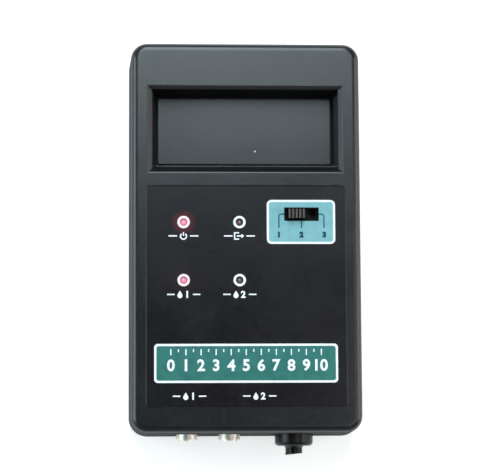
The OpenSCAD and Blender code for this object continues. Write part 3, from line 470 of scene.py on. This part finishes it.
def board_material():
    """Green laminate: copper tracks show through the lacquer as a slightly paler pattern."""
    material, tree, shader = new_material("board_green")
    coords = object_coords(tree)
    tracks = tree.nodes.new("ShaderNodeTexBrick")
    tracks.inputs["Scale"].default_value = 1 / (9 * MM)
    tracks.inputs["Mortar Size"].default_value = 0.06
    tracks.inputs["Color1"].default_value = (0.02, 0.13, 0.06, 1)
    tracks.inputs["Color2"].default_value = (0.03, 0.17, 0.07, 1)
    tracks.inputs["Mortar"].default_value = (0.1, 0.3, 0.12, 1)
    tree.links.new(coords, tracks.inputs["Vector"])
    weave = noise(tree, coords, 0.6)
    shade = rising(tree, weave, top=0.35)
    paint(tree, shader, mix_colours(tree, shade, tracks.outputs["Color"], (0.02, 0.09, 0.045)),
          spread(tree, weave, 0.3, 0.45))
    bump(tree, shader, tracks.outputs["Fac"], depth_mm=0.03, strength=0.8)
    return material


def striped(name, first, second, size_mm, axis, roughness, depth_mm=0.05, wobble=0.0, **sockets):
    """Fine parallel lines, such as laminations, wire turns or the ribs of a flat cable."""
    material, tree, shader = new_material(name)
    coords = object_coords(tree)
    lines = bands(tree, coords, size_mm, axis, wobble)
    dust = noise(tree, coords, 1.2)
    blend = times(tree, lines, spread(tree, dust, 0.7, 1.0))
    paint(tree, shader, mix_colours(tree, blend, first, second),
          spread(tree, dust, roughness - 0.05, roughness + 0.08))
    bump(tree, shader, lines, depth_mm)
    set_sockets(shader, **sockets)
    return material


def blank_material():
    """Smoked plastic panel with a matte sheen, a few scuffs and specks of dust, lighter towards the top as
    a painted reflection of the light above, and black round its pad as painted shade of the gap there.
    """
    material, tree, shader = new_material("smoked_panel")
    coords = object_coords(tree)
    x, y, z = split_xyz(tree, coords)
    middle = centre("display_blank")
    pad_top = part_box("display_blank")[1][2]
    # Painted reflection of the light above: the panel runs from darker at the bottom to lighter at the top
    upper = rising(tree, y, (middle[1] - PAD[1]) * MM, (middle[1] + PAD[1]) * MM)
    shade = mix_colours(tree, upper, (0.018, 0.019, 0.022), (0.056, 0.058, 0.063))
    haze = rising(tree, noise(tree, coords, 12, detail=4, rough=0.6), top=0.25)
    tint = mix_colours(tree, haze, shade, (0.05, 0.053, 0.056))
    dust = falling(tree, cells(tree, coords, 1.7), 0.05, 0.085)
    few = times(tree, dust, rising(tree, noise(tree, coords, 9, detail=2), 0.58, 0.66, top=0.6))
    speck = falling(tree, distance_from(tree, *SPECK), 0.2, 0.45)
    dusty = mix_colours(tree, speck, mix_colours(tree, few, tint, (0.3, 0.3, 0.3)), (0.75, 0.76, 0.78))
    # Painted shade of the gap round the pad: below the pad's top and in a thin band along its sides the
    # panel is black and rougher
    raised = rising(tree, z, pad_top - 0.8 * MM, pad_top - 0.3 * MM)
    edge_x = PAD[0] - PANEL_EDGE
    aside = away_from(tree, x, middle[0] * MM)
    inside = times(tree, raised, falling(tree, aside, edge_x * MM, (edge_x + 0.15) * MM))
    scuffs = noise(tree, object_coords(tree, stretch=(1, 9, 1)), 1.4, detail=5, rough=0.7)
    edge_roughness = times(tree, math_node(tree, "SUBTRACT", 1.0, inside), 0.45)
    paint(tree, shader, mix_colours(tree, inside, (0.003, 0.003, 0.003), dusty),
          add(tree, spread(tree, scuffs, 0.34, 0.44), edge_roughness))
    bump(tree, shader, scuffs, depth_mm=0.004, strength=0.5)
    return material


def knob_material():
    """Dull black plastic whose rib tops are pale beige."""
    material, tree, shader = new_material("knob_plastic")
    coords = object_coords(tree)
    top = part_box("switch_knob")[1][2]
    grain = noise(tree, coords, 0.25, detail=3, rough=0.6)
    rib_tops = rising(tree, split_xyz(tree, coords)[2], top - 0.3 * MM, top - 0.1 * MM)
    rib_top_colour = mix_colours(tree, rising(tree, grain), (0.06, 0.055, 0.048), (0.14, 0.125, 0.11))
    paint(tree, shader, mix_colours(tree, rib_tops, (0.003, 0.003, 0.003), rib_top_colour),
          spread(tree, grain, 0.5, 0.7))
    bump(tree, shader, grain, depth_mm=0.02)
    set_sockets(shader, Specular_IOR_Level=0.2)
    return material


def fuse_material():
    """Glass tube between two metal caps."""
    material, tree, shader = new_material("fuse_glass")
    coords = object_coords(tree)
    low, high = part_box("fuse")
    cap_length = 5.5 * MM
    away = away_from(tree, split_xyz(tree, coords)[1], (low[1] + high[1]) / 2)
    cap = math_node(tree, "GREATER_THAN", away, (high[1] - low[1]) / 2 - cap_length)
    smear = noise(tree, coords, 1.5)
    glass = mix_colours(tree, rising(tree, smear), (0.7, 0.74, 0.72), (0.8, 0.84, 0.82))
    paint(tree, shader, mix_colours(tree, cap, glass, (0.7, 0.7, 0.68)), spread(tree, smear, 0.08, 0.2))
    tree.links.new(cap, shader.inputs["Metallic"])
    return material


def lamp_materials():
    """Two lamps are lit, the first a little brighter, and two are dark."""
    made = {}
    for name, place in LAMPS.items():
        if name in LIT_LAMPS:
            core, rim, glow = (0.88, 0.3, 0.36), (0.76, 0.22, 0.28), (0.84, 0.25, 0.35)
            strength = 0.68 if name == "power" else 0.64
        else:
            # A dark lamp gets a paler middle and a faint glow, painted as a highlight on its lens
            core, rim, glow = (0.25, 0.15, 0.17), (0.08, 0.045, 0.05), (0.2, 0.1, 0.1)
            strength = 0.05
        made[f"lamp_{name}"] = lamp_material(f"lens_{name}", place, core, rim, glow, strength)
    return made


def build_materials():
    return {
        "case": case_material(),
        "label": label_material(),
        "panel": blank_material(),
        "steel": screw_steel(),
        "board": board_material(),
        "knob": knob_material(),
        "fuse": fuse_material(),
        "nickel": turned_metal(
            "nickel", dull=(0.78, 0.7, 0.55), bright=(0.95, 0.94, 0.92), roughness=0.42),
        "brass": turned_metal(
            "tinned_brass", dull=(0.6, 0.46, 0.2), bright=(0.8, 0.7, 0.45), roughness=0.3),
        "black": plain_finish(
            "black_plastic", dark=(0.008, 0.008, 0.009), light=(0.02, 0.02, 0.021), roughness=0.36,
            grain_mm=0.4, patch_mm=6, depth_mm=0.02),
        "housing": plain_finish(
            "housing_plastic", dark=(0.003, 0.003, 0.003), light=(0.008, 0.008, 0.008), roughness=0.65,
            grain_mm=0.4, patch_mm=4, depth_mm=0.02, Specular_IOR_Level=0.15),
        # Painted shade: this bronze is made dark so that the switch contact, seen through the slot, looks
        # as shaded as the slot around it
        "bronze": plain_finish(
            "contact_bronze", dark=(0.06, 0.04, 0.02), light=(0.14, 0.1, 0.05), roughness=0.6,
            patch_mm=2, Metallic=0.6),
        "nylon": plain_finish(
            "bushing_nylon", dark=(0.002, 0.0025, 0.003), light=(0.006, 0.0065, 0.007), roughness=0.24,
            grain_mm=0.5, patch_mm=3, depth_mm=0.008, Specular_IOR_Level=0.25),
        "base": plain_finish(
            "switch_base", dark=(0.004, 0.004, 0.004), light=(0.011, 0.01, 0.009), roughness=0.6,
            patch_mm=3),
        "relay": plain_finish(
            "relay_plastic", dark=(0.03, 0.08, 0.3), light=(0.06, 0.13, 0.42), roughness=0.35,
            grain_mm=0.4, patch_mm=5, depth_mm=0.02),
        "block": plain_finish(
            "block_plastic", dark=(0.02, 0.22, 0.1), light=(0.04, 0.34, 0.16), roughness=0.45,
            grain_mm=0.35, patch_mm=4),
        "sleeve": plain_finish(
            "capacitor_sleeve", dark=(0.015, 0.03, 0.14), light=(0.04, 0.06, 0.24), roughness=0.25,
            grain_mm=0.6, patch_mm=4, depth_mm=0.01),
        "wire": plain_finish(
            "red_insulation", dark=(0.36, 0.02, 0.02), light=(0.55, 0.05, 0.04), roughness=0.4,
            patch_mm=2),
        "core": striped(
            "lacquered_core", (0.1, 0.1, 0.11), (0.34, 0.34, 0.36), size_mm=0.5, axis="Y", roughness=0.4,
            depth_mm=0.06, wobble=0.1, Metallic=0.7),
        "winding": striped(
            "copper_winding", (0.35, 0.12, 0.04), (0.75, 0.36, 0.14), size_mm=0.35, axis="Z",
            roughness=0.35, depth_mm=0.08, wobble=0.3),
        "resistor": striped(
            "resistor_lacquer", (0.62, 0.5, 0.33), (0.4, 0.18, 0.08), size_mm=2.1, axis="X",
            roughness=0.35, depth_mm=0.02),
        "cable": striped(
            "flat_cable", (0.2, 0.2, 0.22), (0.42, 0.42, 0.44), size_mm=1.27, axis="X", roughness=0.5,
            depth_mm=0.15),
        **lamp_materials(),
    }


def dress_nodes(made):
    """Give each node the finish named here, its own, or the one for its kind of fitting."""
    finishes = {
        "front_case": "case", "rear_case": "case", "label_overlay": "label", "display_blank": "panel",
        "indicator_board": "board", "main_board": "board", "switch_housing": "housing",
        "switch_base": "base", "switch_knob": "knob", "switch_contact": "bronze",
        "switch_terminals": "bronze", "fuse_clips": "brass", "cord_bushing": "nylon",
        "bushing_wedge": "nylon", "transformer_core": "core", "transformer_coil": "winding",
        "terminal_block": "block", "large_capacitor": "sleeve", "small_capacitor": "sleeve",
        "board_resistors": "resistor", "lamp_resistors": "resistor", "ribbon_cable": "cable",
        "socket_wires": "wire",
    }
    for name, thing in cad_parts.items():
        if name in finishes:
            finish = made[finishes[name]]
        elif name in made:
            finish = made[name]
        elif "screws" in name:
            finish = made["steel"]
        elif name.endswith(("sleeve", "nut")):
            finish = made["nickel"]
        elif name.endswith("contact"):
            finish = made["brass"]
        else:
            finish = made["black"]
        thing.data.materials.clear()
        thing.data.materials.append(finish)


def turned(x, y, r, degrees):
    """Point on a circle."""
    return x + r * math.cos(math.radians(degrees)), y + r * math.sin(math.radians(degrees))


def arc_points(x, y, r, start, end, steps):
    return [turned(x, y, r, start + (end - start) * k / steps) for k in range(steps + 1)]


def circle(x, y, r):
    return [turned(x, y, r, 360 * k / CIRCLE_STEPS) for k in range(CIRCLE_STEPS)]


def rounded(w, l, r, x, y):
    """Outline of a rounded rectangle, in millimetres."""
    points = []
    for i, (sx, sy) in enumerate(((1, 1), (-1, 1), (-1, -1), (1, -1))):
        cx, cy = x + sx * (w / 2 - r), y + sy * (l / 2 - r)
        points += arc_points(cx, cy, r, 90 * i, 90 * i + 90, 8)
    return points


def stroke(points, width):
    """Outline of a line of even width through the points, with square ends and mitred bends."""
    left, right = [], []
    for i, point in enumerate(points):
        here = Vector(point)
        before = (here - Vector(points[i - 1])).normalized() if i else None
        after = (Vector(points[i + 1]) - here).normalized() if i < len(points) - 1 else None
        along = (before or after) + (after or before)
        along.normalize()
        across = Vector((-along.y, along.x))
        reach = width / 2 / max(0.3, (before or after).dot(along))
        left.append(tuple(here + across * reach))
        right.append(tuple(here - across * reach))
    return left + right[::-1]


def curve_mesh(curve, name):
    """Turn a curve into a plain mesh and drop the curve."""
    holder = bpy.data.objects.new(name + "_curve", curve)
    bpy.context.scene.collection.objects.link(holder)
    graph = bpy.context.evaluated_depsgraph_get()
    mesh = bpy.data.meshes.new_from_object(holder.evaluated_get(graph))
    bpy.data.objects.remove(holder)
    return mesh


def add_piece(name, mesh, material, body="case"):
    piece = bpy.data.objects.new(name, mesh)
    bpy.context.scene.collection.objects.link(piece)
    mesh.materials.clear()
    mesh.materials.append(material)
    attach(piece, body)
    return piece


def film(name, loops, bottom_z, thickness, material):
    """Thin flat piece with the given outlines. Inner outlines are holes."""
    curve = bpy.data.curves.new(name, "CURVE")
    curve.dimensions = "2D"
    curve.fill_mode = "BOTH"
    curve.extrude = thickness / 2 * MM
    for loop in loops:
        spline = curve.splines.new("POLY")
        spline.points.add(len(loop) - 1)
        for point, (x, y) in zip(spline.points, loop):
            point.co = (x * MM, y * MM, 0, 1)
        spline.use_cyclic_u = True
    mesh = curve_mesh(curve, name)
    mesh.transform(Matrix.Translation((0, 0, (bottom_z + thickness / 2) * MM)))
    piece = add_piece(name, mesh, material)


def digits(name, text, x, y, height, bold, material, bottom_z=LABEL_TOP_Z):
    """Plain numbers of an exact height, centred on a point."""
    curve = bpy.data.curves.new(name, "FONT")
    curve.body = text
    curve.size = height / FIGURE_HEIGHT * MM
    curve.offset = bold * MM
    curve.extrude = PRINT / 2 * MM
    curve.resolution_u = 6
    mesh = curve_mesh(curve, name)
    xs = [v.co.x for v in mesh.vertices]
    ys = [v.co.y for v in mesh.vertices]
    middle = Vector(((min(xs) + max(xs)) / 2, (min(ys) + max(ys)) / 2, 0))
    stretch = height * MM / (max(ys) - min(ys))
    place = Matrix.Translation((x * MM, y * MM, (bottom_z + PRINT / 2) * MM))
    mesh.transform(place @ Matrix.Diagonal((stretch, stretch, 1, 1)) @ Matrix.Translation(-middle))
    piece = add_piece(name, mesh, material)


def power_sign(x, y):
    """Open ring with a bar in its gap."""
    ring = stroke(arc_points(x, y - SIGN * 0.04, SIGN * 0.4, 130, 410, 28), SIGN_STROKE)
    bar = stroke([(x, y + SIGN * 0.02), (x, y + SIGN * 0.5)], SIGN_STROKE)
    return [ring, bar]


def arrow_sign(x, y):
    """Arrow that leaves a box on its right side."""
    h = SIGN / 2
    half_shaft = SIGN * 0.09
    corners = ((0.1, 0.85), (-1.1, 0.85), (-1.1, -0.85), (0.1, -0.85))
    box = stroke([(x + h * u, y + h * v) for u, v in corners], SIGN_STROKE)
    tail_x, head_x, head_y = x - h * 0.5, x + h * 0.75, h * 0.62
    arrow = [(tail_x, y + half_shaft), (head_x, y + half_shaft), (head_x, y + head_y), (x + h * 1.45, y),
             (head_x, y - head_y), (head_x, y - half_shaft), (tail_x, y - half_shaft)]
    return [box, arrow]


def drop_sign(x, y):
    """Solid water drop with its tip up."""
    r = SIGN * 0.34
    foot = y - SIGN / 2
    round_part = [turned(x, foot + r, r, degrees) for degrees in range(-205, 26, 10)]
    return [round_part + [(x, y + SIGN / 2)]]


def rules(x, y, inner, outer):
    """A short line on each side of a sign."""
    return [stroke([(x + side * inner, y), (x + side * outer, y)], RULE_WIDTH) for side in (-1, 1)]


def print_plate(name, plate, border, corner_step, border_ink, field_ink, holes=()):
    """A border film, and the coloured field on top of it."""
    x, y, w, l, r = plate
    outer = rounded(w, l, r, x, y)
    inner = rounded(w - 2 * border, l - 2 * border, r - corner_step, x, y)
    film(f"{name}_border", [outer, *holes], LABEL_TOP_Z, FILM, border_ink)
    film(name, [inner, *holes], LABEL_TOP_Z + FILM, PRINT, field_ink)


def print_switch_plate(inks, top):
    slot = rounded(SLOT[0] + 2 * SLOT_GAP, SLOT[1] + 2 * SLOT_GAP, SLOT_CORNER, *SWITCH)
    print_plate("switch_plate", SWITCH_PLATE, SWITCH_BORDER, SWITCH_CORNER_STEP,
                inks["white"], inks["teal"], [slot])
    sx, sy = SWITCH
    aside = SLOT[0] / 2 + SLOT_GAP
    bend_y = sy - LEADER_BEND
    left_bend = arc_points(LEADER_LEFT_X + LEADER_BEND, bend_y, LEADER_BEND, 90, 180, 6)
    right_bend = arc_points(LEADER_RIGHT_X - LEADER_BEND, bend_y, LEADER_BEND, 90, 0, 6)
    paths = [
        [(sx - aside, sy)] + left_bend + [(LEADER_LEFT_X, LEADER_FOOT_Y)],
        [(sx, sy - SLOT[1] / 2 - SLOT_GAP), (sx, LEADER_FOOT_Y)],
        [(sx + aside, sy)] + right_bend + [(LEADER_RIGHT_X, LEADER_FOOT_Y)],
    ]
    film("switch_leader_lines", [stroke(path, LEADER_WIDTH) for path in paths], top, PRINT, inks["navy"])
    for number, x in SWITCH_NUMBERS:
        digits(f"switch_number_{number}", number, x, SWITCH_NUMBER_Y,
               SWITCH_NUMBER_HEIGHT, SWITCH_NUMBER_BOLD, inks["deep"], top)


def print_scale_plate(inks, top):
    print_plate("scale_plate", SCALE_PLATE, SCALE_BORDER, SCALE_CORNER_STEP,
                inks["white"], inks["green"])
    middle_x, middle_y = SCALE_PLATE[:2]
    for i in range(SCALE_STEPS + 1):
        x = middle_x + (i / SCALE_STEPS - 0.5) * SCALE_SPAN
        digits(f"scale_number_{i}", str(i), x, middle_y - SCALE_NUMBER_DROP,
               SCALE_NUMBER_HEIGHT, SCALE_NUMBER_BOLD, inks["white"], top)
    ticks = []
    for i in range(2 * SCALE_STEPS + 1):
        x = middle_x + (i / (2 * SCALE_STEPS) - 0.5) * SCALE_SPAN
        foot = LONG_TICK_FOOT if i % 2 == 0 else SHORT_TICK_FOOT
        ticks.append(stroke([(x, middle_y + TICK_TOP), (x, middle_y + foot)], TICK_WIDTH))
    film("scale_ticks", ticks, top, PRINT, inks["white"])


def print_signs(white):
    """Signs at the lamps and sockets, each between two short lines, with a number where there are two."""
    power = power_sign(POWER_X, TOP_ROW_Y) + rules(POWER_X, TOP_ROW_Y, *POWER_RULES)
    film("sign_power", power, LABEL_TOP_Z, PRINT, white)
    output = arrow_sign(OUTPUT_X + ARROW_SHIFT, TOP_ROW_Y) + rules(OUTPUT_X, TOP_ROW_Y, *OUTPUT_RULES)
    film("sign_output", output, LABEL_TOP_Z, PRINT, white)
    for kind, y, columns in DROP_SIGNS:
        for number, x in zip(("1", "2"), columns):
            drop = drop_sign(x + DROP_SHIFT, y) + rules(x, y, *DROP_RULES)
            film(f"sign_{kind}_{number}", drop, LABEL_TOP_Z, PRINT, white)
            digits(f"sign_{kind}_number_{number}", number, x + SIGN_NUMBER_SHIFT, y,
                   SIGN_NUMBER_HEIGHT, SIGN_NUMBER_BOLD, white)


def print_label():
    """White and coloured print on the label, with generic signs and plain numbers."""
    inks = {
        "white": ink("white_ink", (0.84, 0.87, 0.88), (0.95, 0.96, 0.96)),
        "teal": ink("teal_ink", (0.18, 0.415, 0.455), (0.23, 0.49, 0.53)),
        "green": ink("green_ink", (0.022, 0.14, 0.125), (0.038, 0.19, 0.165)),
        "navy": ink("navy_ink", (0.015, 0.09, 0.11), (0.03, 0.13, 0.16)),
        "deep": ink("deep_ink", (0.003, 0.04, 0.06), (0.006, 0.06, 0.085)),
        "lit_ring_glow": ink("lit_ring_glow_ink", (0.88, 0.76, 0.79), (0.96, 0.85, 0.88)),
    }
    for name, place in LAMPS.items():
        ring = [circle(*place, RING_OUTER), circle(*place, RING_INNER)]
        # Painted glow: the rings round the lit lamps are printed pink for the red light of their lamps,
        # the others white
        film(f"lamp_ring_{name}", ring, LABEL_TOP_Z, FILM, inks["lit_ring_glow" if name in LIT_LAMPS else "white"])
    top = LABEL_TOP_Z + FILM + PRINT
    print_switch_plate(inks, top)
    print_scale_plate(inks, top)
    print_signs(inks["white"])


def add_camera():
    data = bpy.data.cameras.new("camera")
    data.sensor_width = SENSOR_WIDTH
    data.lens = FOCAL_LENGTH
    data.clip_start = 0.05
    data.clip_end = 20
    camera = bpy.data.objects.new("camera", data)
    camera.location = CAMERA_PLACE
    camera.rotation_euler = CAMERA_TURN
    bpy.context.scene.collection.objects.link(camera)
    bpy.context.scene.camera = camera


def floor_material():
    """Pale and matte. Rays that see it find it near white, and far away the camera finds it white."""
    material, tree, shader = new_material("pale_floor")
    path = tree.nodes.new("ShaderNodeLightPath")
    by_camera = path.outputs["Is Camera Ray"]
    by_object = larger(tree, path.outputs["Is Glossy Ray"], path.outputs["Is Transmission Ray"])
    near = times(tree, larger(tree, by_camera, by_object), FLOOR_GLOW)
    far = rising(tree, distance_from(tree, 0, 0), FAR_FROM_MM, FAR_TO_MM, top=FAR_GLOW)
    set_sockets(shader, Base_Color=(0.8, 0.8, 0.8, 1), Roughness=0.9, Specular_IOR_Level=0.1,
                Emission_Color=(*WHITE, 1))
    tree.links.new(add(tree, near, times(tree, far, by_camera)), shader.inputs["Emission Strength"])
    return material


def add_floor():
    """Large pale floor that takes the object's shadow."""
    mesh = bpy.data.meshes.new("floor")
    s = FLOOR_HALF
    mesh.from_pydata([(-s, -s, 0), (s, -s, 0), (s, s, 0), (-s, s, 0)], [], [(0, 1, 2, 3)])
    floor = bpy.data.objects.new("floor", mesh)
    floor.location.z = -FLOOR_DROP
    bpy.context.scene.collection.objects.link(floor)
    mesh.materials.append(floor_material())


def softbox(name, place, size, power, colour):
    data = bpy.data.lights.new(name, "AREA")
    data.shape = "RECTANGLE"
    data.size, data.size_y = size
    data.energy = power
    data.color = colour
    light = bpy.data.objects.new(name, data)
    light.location = place
    light.rotation_euler = (Vector(LIGHT_TARGET) - Vector(place)).to_track_quat("-Z", "Y").to_euler()
    bpy.context.scene.collection.objects.link(light)


def add_light():
    """Soft area lights in a dim sky that is a little lighter at its foot and white to the camera."""
    world = bpy.data.worlds.new("studio")
    world.use_nodes = True
    tree = world.node_tree
    background = tree.nodes["Background"]
    direction = tree.nodes.new("ShaderNodeTexCoord").outputs["Generated"]
    glow = spread(tree, split_xyz(tree, direction)[2], 0.4, 0.1, 0.15, 0.85)
    by_camera = tree.nodes.new("ShaderNodeLightPath").outputs["Is Camera Ray"]
    tree.links.new(mix_colours(tree, by_camera, SKY, WHITE), background.inputs["Color"])
    tree.links.new(larger(tree, glow, by_camera), background.inputs["Strength"])
    bpy.context.scene.world = world
    for light in LIGHTS:
        softbox(*light)


bpy.context.scene.view_settings.view_transform = "Standard"
add_camera()
add_floor()
add_light()
dress_nodes(build_materials())
print_label()
